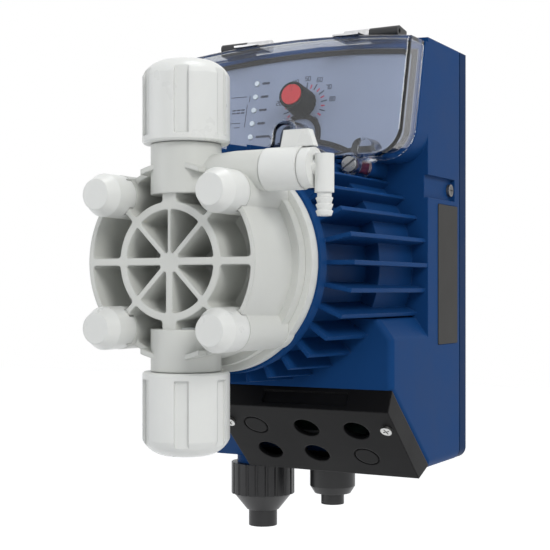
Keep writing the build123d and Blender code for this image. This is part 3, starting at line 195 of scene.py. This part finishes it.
def moulded(
    name, colour, rough, edge=0.6, grain=0.12, grain_scale=2500.0, drift=0.06, rub=0.25, soft=0.0, specular=0.4
):
    """A moulded plastic: its colour drifts a little, its edges are soft and lightly rubbed."""
    material, tree, shader = blank(name)
    surface = tree.nodes.new("ShaderNodeGroup")
    surface.node_tree = MOULDED
    surface.inputs["Edge"].default_value = edge * MM
    surface.inputs["Grain"].default_value = grain
    surface.inputs["Grain Scale"].default_value = grain_scale
    darker = tuple(c * (1 - drift) for c in colour)
    lighter = tuple(min(1.0, c * (1 + drift)) for c in colour)
    worn = tuple(c + (WORN_SHADE - c) * rub * WORN_SHARE for c in colour)
    drifting = two_colours(tree, surface.outputs["Cloud"], darker, lighter)
    base = over(tree, surface.outputs["Rub"], drifting, worn)
    tree.links.new(base, shader.inputs["Base Color"])
    tree.links.new(
        remap(tree, surface.outputs["Cloud"], 0.0, 1.0, rough - 0.04, rough + 0.05), shader.inputs["Roughness"]
    )
    tree.links.new(surface.outputs["Normal"], shader.inputs["Normal"])
    shader.inputs["Specular IOR Level"].default_value = specular
    if soft > 0:
        shader.inputs["Subsurface Weight"].default_value = soft
        shader.inputs["Subsurface Radius"].default_value = (1.0, 0.95, 0.85)
        shader.inputs["Subsurface Scale"].default_value = 0.0025
    return material


def metal(name, colour, rough, edge=0.3, depth=0.2):
    material, tree, shader = blank(name)
    surface = tree.nodes.new("ShaderNodeGroup")
    surface.node_tree = DRAWN
    surface.inputs["Edge"].default_value = edge * MM
    surface.inputs["Depth"].default_value = depth
    shader.inputs["Metallic"].default_value = 1.0
    darker = tuple(c * TARNISH for c in colour)
    base = two_colours(tree, surface.outputs["Marks"], colour, darker)
    tree.links.new(base, shader.inputs["Base Color"])
    dull = remap(tree, surface.outputs["Marks"], 0.0, 1.0, rough, rough + 0.12)
    tree.links.new(dull, shader.inputs["Roughness"])
    tree.links.new(surface.outputs["Normal"], shader.inputs["Normal"])
    return material


COVER_TINT = (0.84, 0.86, 0.89, 1.0)


def clear_plastic():
    """Clear moulding that lamps shine through."""
    material, tree, shader = blank("clear cover")
    surface = tree.nodes.new("ShaderNodeGroup")
    surface.node_tree = MOULDED
    surface.inputs["Edge"].default_value = 0.5 * MM
    surface.inputs["Grain"].default_value = 0.02
    surface.inputs["Grain Scale"].default_value = 120.0
    shader.inputs["Base Color"].default_value = COVER_TINT
    shader.inputs["Transmission Weight"].default_value = 1.0
    shader.inputs["IOR"].default_value = 1.45
    polish = remap(tree, surface.outputs["Cloud"], 0.0, 1.0, 0.015, 0.05)
    tree.links.new(polish, shader.inputs["Roughness"])
    tree.links.new(surface.outputs["Normal"], shader.inputs["Normal"])
    path = tree.nodes.new("ShaderNodeLightPath")
    through = tree.nodes.new("ShaderNodeBsdfTransparent")
    through.inputs["Color"].default_value = COVER_TINT
    mix = tree.nodes.new("ShaderNodeMixShader")
    tree.links.new(path.outputs["Is Shadow Ray"], mix.inputs["Fac"])
    tree.links.new(shader.outputs["BSDF"], mix.inputs[1])
    tree.links.new(through.outputs["BSDF"], mix.inputs[2])
    tree.links.new(mix.outputs["Shader"], tree.nodes["Material Output"].inputs["Surface"])
    return material


def board_material_painted_light():
    """Lacquered board: tracks and pads show through the green; the whole green is painted lighter than the
    board's own, as painted light on a board that sits in shade.
    """
    material, tree, shader = blank("green board")
    place = tree.nodes.new("ShaderNodeTexCoord").outputs["Object"]
    cells = tree.nodes.new("ShaderNodeTexVoronoi")
    cells.feature = "DISTANCE_TO_EDGE"
    cells.distance = "EUCLIDEAN"
    cells.inputs["Scale"].default_value = 320.0
    tree.links.new(place, cells.inputs["Vector"])
    tracks = remap(tree, cells.outputs["Distance"], 0.10, 0.06, 0.0, 1.0)
    # The track pattern is the board's own; the level of both greens is painted light, lifted to show through
    # the shaded knockouts.
    base = two_colours(tree, tracks, (0.03, 0.20, 0.08), (0.12, 0.42, 0.20))
    tree.links.new(base, shader.inputs["Base Color"])
    tree.links.new(remap(tree, noise(tree, place, 300.0), 0.3, 0.7, 0.22, 0.38), shader.inputs["Roughness"])
    bump = tree.nodes.new("ShaderNodeBump")
    bump.inputs["Distance"].default_value = 0.00005
    tree.links.new(tracks, bump.inputs["Height"])
    tree.links.new(bump.outputs["Normal"], shader.inputs["Normal"])
    return material


def winding_material():
    """Lacquered copper turns laid side by side round the coil."""
    material, tree, shader = blank("copper winding")
    place = tree.nodes.new("ShaderNodeTexCoord").outputs["Object"]
    turns = tree.nodes.new("ShaderNodeTexWave")
    turns.bands_direction = "Y"
    turns.inputs["Scale"].default_value = 420.0
    turns.inputs["Distortion"].default_value = 0.25
    tree.links.new(place, turns.inputs["Vector"])
    base = two_colours(tree, turns.outputs["Fac"], (0.16, 0.045, 0.015), (0.62, 0.25, 0.10))
    tree.links.new(base, shader.inputs["Base Color"])
    shader.inputs["Metallic"].default_value = 0.8
    tree.links.new(remap(tree, noise(tree, place, 200.0), 0.3, 0.7, 0.25, 0.4), shader.inputs["Roughness"])
    bump = tree.nodes.new("ShaderNodeBump")
    bump.inputs["Distance"].default_value = 0.0002
    tree.links.new(turns.outputs["Fac"], bump.inputs["Height"])
    tree.links.new(bump.outputs["Normal"], shader.inputs["Normal"])
    return material


def lamp_material():
    """Diffuse lens with a faint cloudy tone."""
    material, tree, shader = blank("lamp lens")
    place = tree.nodes.new("ShaderNodeTexCoord").outputs["Object"]
    cloud = remap(tree, noise(tree, place, 900.0), 0.3, 0.7, 0.0, 1.0)
    base = two_colours(tree, cloud, (0.62, 0.68, 0.72), (0.78, 0.83, 0.86))
    tree.links.new(base, shader.inputs["Base Color"])
    tree.links.new(remap(tree, cloud, 0.0, 1.0, 0.15, 0.25), shader.inputs["Roughness"])
    shader.inputs["Coat Weight"].default_value = 0.3
    return material


BLUE = (0.008, 0.050, 0.170)
WHITE = (0.64, 0.65, 0.62)
FINISH = {
    "blue_moulding": moulded("blue moulding", BLUE, 0.46, edge=0.8, grain=0.16, rub=0.10, specular=0.035),
    "dark_moulding": moulded("dark moulding", (0.022, 0.023, 0.025), 0.42, edge=0.4, rub=0.4),
    "black_moulding": moulded(
        "black moulding", (0.006, 0.006, 0.0065), 0.40, edge=0.9, grain=0.2, rub=0.08, specular=0.07
    ),
    "white_nut": moulded(
        "white nut", (0.76, 0.77, 0.75), 0.30, edge=0.9, grain=0.05, drift=0.02, rub=0.0, soft=0.12
    ),
    "clear_cover": clear_plastic(),
    "panel_film": moulded("panel film", (0.25, 0.29, 0.39), 0.38, edge=0.3, grain=0.08, drift=0.03, rub=0.0),
    "rubber_seal": moulded("rubber", (0.012, 0.012, 0.013), 0.62, edge=0.4, grain=0.3, rub=0.0, specular=0.25),
    "white_moulding": moulded(
        "white moulding", (0.70, 0.71, 0.68), 0.36, edge=0.8, drift=0.02, rub=0.0, soft=0.08
    ),
    "white_head": moulded("white head", WHITE, 0.38, edge=1.0, grain=0.10, drift=0.02, rub=0.0, soft=0.08),
    "clear_valve": moulded("valve guide", (0.62, 0.66, 0.66), 0.25, edge=0.4, drift=0.02, rub=0.0, soft=0.2),
    "steel": metal("steel", (0.55, 0.55, 0.54), 0.26),
    "chromed": metal("chromed wire", (0.72, 0.72, 0.73), 0.10, depth=0.05),
    "red_moulding": moulded("red moulding", (0.56, 0.020, 0.028), 0.32, edge=0.4, drift=0.04, rub=0.2),
    "green_board": board_material_painted_light(),
    "copper_coil": winding_material(),
    "lamp": lamp_material(),
    "ceramic_ball": moulded("ceramic", (0.80, 0.79, 0.74), 0.14, edge=0.1, grain=0.0, drift=0.02, rub=0.0),
    "dark_plate": moulded(
        "dark plate",
        (0.040, 0.039, 0.037),
        0.50,
        edge=0.3,
        grain=0.25,
        grain_scale=1400.0,
        rub=0.1,
        specular=0.10,
    ),
}
OWN_FINISH = {
    "knob": moulded("knob", (0.005, 0.007, 0.007), 0.45, edge=0.4, rub=0.1, specular=0.08),
    "side_screws": metal("dark screws", (0.20, 0.20, 0.20), 0.45),
    "screw_sleeve": moulded("dark red sleeve", (0.13, 0.018, 0.022), 0.35, edge=0.3, rub=0.2),
    "wall_plate": moulded(
        "blue plate", (0.004, 0.026, 0.090), 0.46, edge=1.0, grain=0.16, rub=0.06, specular=0.03
    ),
}
GLAND = moulded("gland black", (0.013, 0.013, 0.014), 0.34, edge=0.5, grain=0.1, rub=0.2, specular=0.4)
for name in ("gland_body", "gland_nut", "level_socket", "socket_cap"):
    OWN_FINISH[name] = GLAND

slot_of = {entry["node"]: entry["material_slot"] for entry in frame["record"]["subparts"]}
for name, node in nodes.items():
    finish = OWN_FINISH.get(name, FINISH[slot_of[name]])
    node.data.materials.clear()
    node.data.materials.append(finish)


# ---------------------------------------------------------------- panel print

TILT = math.radians(14.0)
PANEL_X = Vector((1, 0, 0))
PANEL_V = Vector((0, math.sin(TILT), math.cos(TILT)))
PANEL_N = Vector((0, -math.cos(TILT), math.sin(TILT)))
PANEL_ORIGIN = Vector((0, -60.8, 79.5))
KNOB_CENTRE = (1.0, -5.8)
LAMP_X, LAMP_TOP, LAMP_PITCH = -28.2, 8.2, 7.26
INK_HEIGHT = 0.05
FIGURE_HEIGHT = 2.2
DIAL_STEPS = 20
DIAL_START, DIAL_STEP = 225.0, 13.5
NUMBER_REACH, NUMBER_SPREAD = 14.4, 0.9
BARB_RINGS, BARB_PITCH, BARB_SIDES = 3, 2.6, 40
BARB_PROFILE = ((2.88, 0.0), (3.45, -0.35), (3.5, -0.6), (2.88, -2.3))
BARB_TOP = 7.6
SPOUT_X, VALVE_DEPTH = 65.7, 169.4
SPOUT_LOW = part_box("bleed_elbow")[0][2] / MM


def on_panel(x, v, height=0.0):
    return (PANEL_ORIGIN + PANEL_X * x + PANEL_V * v + PANEL_N * height) * MM


def new_piece(name, mesh_or_bmesh, material, body):
    if isinstance(mesh_or_bmesh, bmesh.types.BMesh):
        bmesh.ops.recalc_face_normals(mesh_or_bmesh, faces=mesh_or_bmesh.faces)
        mesh = bpy.data.meshes.new(name)
        mesh_or_bmesh.to_mesh(mesh)
        mesh_or_bmesh.free()
    else:
        mesh = mesh_or_bmesh
    piece = bpy.data.objects.new(name, mesh)
    bpy.context.scene.collection.objects.link(piece)
    mesh.materials.append(material)
    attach(piece, body)
    return piece


def ink(name, colour):
    return moulded(name, colour, 0.45, edge=0.02, grain=0.05, drift=0.10, rub=0.0)


DARK_INK = ink("dark ink", (0.020, 0.028, 0.055))
RED_INK = ink("red ink", (0.45, 0.04, 0.09))


def stroke(mesh, a, b, width, height=INK_HEIGHT):
    """A printed line from a to b on the panel, with rounded ends."""
    ax, av = a
    bx, bv = b
    length = math.hypot(bx - ax, bv - av)
    ux, uv = (bx - ax) / length, (bv - av) / length
    half = width / 2
    turn = math.atan2(uv, ux)
    outline = []
    for centre, first in ((b, -90), (a, 90)):
        for step in range(7):
            angle = turn + math.radians(first + step * 30)
            outline.append((centre[0] + half * math.cos(angle), centre[1] + half * math.sin(angle)))
    low = [mesh.verts.new(on_panel(x, v, 0.0)) for x, v in outline]
    high = [mesh.verts.new(on_panel(x, v, height)) for x, v in outline]
    mesh.faces.new(high)
    mesh.faces.new(low[::-1])
    for i in range(len(outline)):
        j = (i + 1) % len(outline)
        mesh.faces.new((low[i], low[j], high[j], high[i]))


SEGMENTS = {
    "0": "abcdef",
    "1": "bc",
    "2": "abged",
    "3": "abgcd",
    "4": "fgbc",
    "5": "afgcd",
    "6": "afgedc",
    "7": "abc",
    "8": "abcdefg",
    "9": "abcdfg",
}


def number(mesh, text, x, v, tall=FIGURE_HEIGHT):
    """A plain number in straight strokes, centred at x, v."""
    wide = tall * 0.5
    pitch = wide * 1.55
    for place, figure in enumerate(text):
        left = x + (place - (len(text) - 1) / 2) * pitch - wide / 2
        right, low, mid, top = left + wide, v - tall / 2, v, v + tall / 2
        ends = {
            "a": ((left, top), (right, top)),
            "b": ((right, top), (right, mid)),
            "c": ((right, mid), (right, low)),
            "d": ((left, low), (right, low)),
            "e": ((left, mid), (left, low)),
            "f": ((left, top), (left, mid)),
            "g": ((left, mid), (right, mid)),
        }
        for segment in SEGMENTS[figure]:
            stroke(mesh, *ends[segment], tall * 0.17)


def dial_print():
    """Scale marks and plain numbers round the knob."""
    dark, red = bmesh.new(), bmesh.new()
    for step in range(DIAL_STEPS + 1):
        angle = math.radians(DIAL_START - DIAL_STEP * step)
        ux, uv = math.cos(angle), math.sin(angle)
        whole = step % 2 == 0
        mesh = dark if whole else red
        near, far = (9.2, 12.0) if whole else (9.4, 10.9)
        stroke(
            mesh,
            (KNOB_CENTRE[0] + near * ux, KNOB_CENTRE[1] + near * uv),
            (KNOB_CENTRE[0] + far * ux, KNOB_CENTRE[1] + far * uv),
            0.6 if whole else 0.8,
        )
        if whole and 2 < step < 18:
            reach = NUMBER_REACH + NUMBER_SPREAD * abs(ux)
            number(mesh, str(step * 5), KNOB_CENTRE[0] + reach * ux, KNOB_CENTRE[1] + reach * uv)
    new_piece("dial_marks_dark", dark, DARK_INK, "pump_body")
    new_piece("dial_marks_red", red, RED_INK, "pump_body")


def lamp_print():
    """Dashes beside the lamps and a bracket figure that groups three of them."""
    mesh = bmesh.new()
    for lamp, parts in enumerate((2, 2, 2, 2, 4)):
        v = LAMP_TOP - LAMP_PITCH * lamp
        for part in range(parts):
            stroke(mesh, (LAMP_X + 3.4 + 2.1 * part, v), (LAMP_X + 4.6 + 2.1 * part, v), 1.3)
    left, right = -43.0, LAMP_X - 3.6
    top, low = LAMP_TOP - LAMP_PITCH * 0.9, LAMP_TOP - LAMP_PITCH * 3.2
    for a, b in (
        ((left, top), (right - 2.0, top)),
        ((right, top), (right, top - 3.0)),
        ((right - 1.0, top - 4.5), (right - 1.0, low)),
        ((left, low + 2.4), (right - 4.0, low + 2.4)),
        ((left + 4.0, low), (right - 4.0, low)),
    ):
        stroke(mesh, a, b, 0.4)
    for row in range(2):
        for part in range(3):
            x = left + 2.0 + part * 2.6
            v = (top + low) / 2 + 1.2 - row * 1.6
            stroke(mesh, (x, v), (x + 1.5, v), 0.8)
    new_piece("lamp_marks", mesh, DARK_INK, "pump_body")


def spout_barbs():
    """Three conical rings that hold the return hose on the bleed spout."""
    mesh = bmesh.new()
    turns = [2 * math.pi * k / BARB_SIDES for k in range(BARB_SIDES)]
    loops = []
    for ring in range(BARB_RINGS):
        top = SPOUT_LOW + BARB_TOP - BARB_PITCH * ring
        for radius, drop in BARB_PROFILE:
            circle = [(SPOUT_X + radius * math.cos(a), -VALVE_DEPTH + radius * math.sin(a)) for a in turns]
            loops.append([mesh.verts.new(Vector((x, y, top + drop)) * MM) for x, y in circle])
    for above, below in zip(loops, loops[1:]):
        for k in range(BARB_SIDES):
            after = (k + 1) % BARB_SIDES
            mesh.faces.new((above[k], above[after], below[after], below[k]))
    mesh.faces.new(loops[0])
    mesh.faces.new(loops[-1][::-1])
    new_piece("spout_barbs", mesh, FINISH["white_nut"], "pump_body")


dial_print()
lamp_print()
spout_barbs()


# ---------------------------------------------------------------- setting


FLOOR_LIFT = 0.58
FLOOR_LEVEL, FLOOR_REACH = -0.40, 4.0
LAMP_TARGET = (0, -0.09, 0)
CAMERA_PLACE = (0.283, -0.6003, -0.0184)
CAMERA_TURN = math.radians(29.1)
CAMERA_LENS, CAMERA_SHIFT = 79.27, 0.0273


def floor_piece():
    mesh = bmesh.new()
    signs = ((-1, -1), (1, -1), (1, 1), (-1, 1))
    corners = [mesh.verts.new((x * FLOOR_REACH, y * FLOOR_REACH, FLOOR_LEVEL)) for x, y in signs]
    mesh.faces.new(corners)
    data = bpy.data.meshes.new("floor")
    mesh.to_mesh(data)
    mesh.free()
    floor = bpy.data.objects.new("floor", data)
    bpy.context.scene.collection.objects.link(floor)
    material, tree, shader = blank("pale floor")
    place = tree.nodes.new("ShaderNodeTexCoord").outputs["Object"]
    cloud = noise(tree, place, 1.5)
    base = two_colours(tree, cloud, (0.80, 0.80, 0.80), (0.84, 0.84, 0.84))
    tree.links.new(base, shader.inputs["Base Color"])
    shader.inputs["Roughness"].default_value = 0.8
    shader.inputs["Specular IOR Level"].default_value = 0.1
    lift = tree.nodes.new("ShaderNodeEmission")
    tree.links.new(maths(tree, "MULTIPLY", seen_directly(tree), FLOOR_LIFT), lift.inputs["Strength"])
    both = tree.nodes.new("ShaderNodeAddShader")
    tree.links.new(shader.outputs["BSDF"], both.inputs[0])
    tree.links.new(lift.outputs["Emission"], both.inputs[1])
    tree.links.new(both.outputs["Shader"], tree.nodes["Material Output"].inputs["Surface"])
    data.materials.append(material)


def seen_directly(tree):
    """1 for what the camera, mirrors and glass show of the setting, 0 for the light that it gives."""
    path = tree.nodes.new("ShaderNodeLightPath")
    seen = maths(tree, "MAXIMUM", path.outputs["Is Camera Ray"], path.outputs["Is Glossy Ray"])
    return maths(tree, "MAXIMUM", seen, path.outputs["Is Transmission Ray"])


def set_world(strength):
    world = bpy.data.worlds.new("studio")
    bpy.context.scene.world = world
    world.use_nodes = True
    tree = world.node_tree
    lit = tree.nodes["Background"]
    lit.inputs["Color"].default_value = (0.95, 0.97, 1.0, 1.0)
    lit.inputs["Strength"].default_value = strength
    white = tree.nodes.new("ShaderNodeBackground")
    white.inputs["Color"].default_value = (1.0, 1.0, 1.0, 1.0)
    white.inputs["Strength"].default_value = 1.0
    mix = tree.nodes.new("ShaderNodeMixShader")
    tree.links.new(seen_directly(tree), mix.inputs["Fac"])
    tree.links.new(lit.outputs["Background"], mix.inputs[1])
    tree.links.new(white.outputs["Background"], mix.inputs[2])
    tree.links.new(mix.outputs["Shader"], tree.nodes["World Output"].inputs["Surface"])


def area_lamp(name, place, target, size, watts, colour=(1.0, 1.0, 1.0)):
    data = bpy.data.lights.new(name, "AREA")
    data.shape = "DISK"
    data.size = size
    data.energy = watts
    data.color = colour
    lamp = bpy.data.objects.new(name, data)
    lamp.location = place
    lamp.rotation_euler = (Vector(target) - Vector(place)).to_track_quat("-Z", "Y").to_euler()
    bpy.context.scene.collection.objects.link(lamp)


def set_camera():
    data = bpy.data.cameras.new("camera")
    data.sensor_width = 36.0
    data.lens = CAMERA_LENS
    data.shift_y = CAMERA_SHIFT
    data.clip_start = 0.01
    camera = bpy.data.objects.new("camera", data)
    camera.location = CAMERA_PLACE
    camera.rotation_euler = (math.radians(90.0), 0.0, CAMERA_TURN)
    bpy.context.scene.collection.objects.link(camera)
    bpy.context.scene.camera = camera


floor_piece()
set_world(0.50)
area_lamp("key", (1.15, -0.85, 0.85), LAMP_TARGET, 0.7, 11.0, (1.0, 0.99, 0.97))
area_lamp("fill", (-1.1, -1.0, 0.35), LAMP_TARGET, 0.9, 3.6, (0.97, 0.98, 1.0))
area_lamp("top", (0.1, 0.1, 1.3), LAMP_TARGET, 0.6, 4.0)
set_camera()
bpy.context.scene.view_settings.view_transform = "Standard"
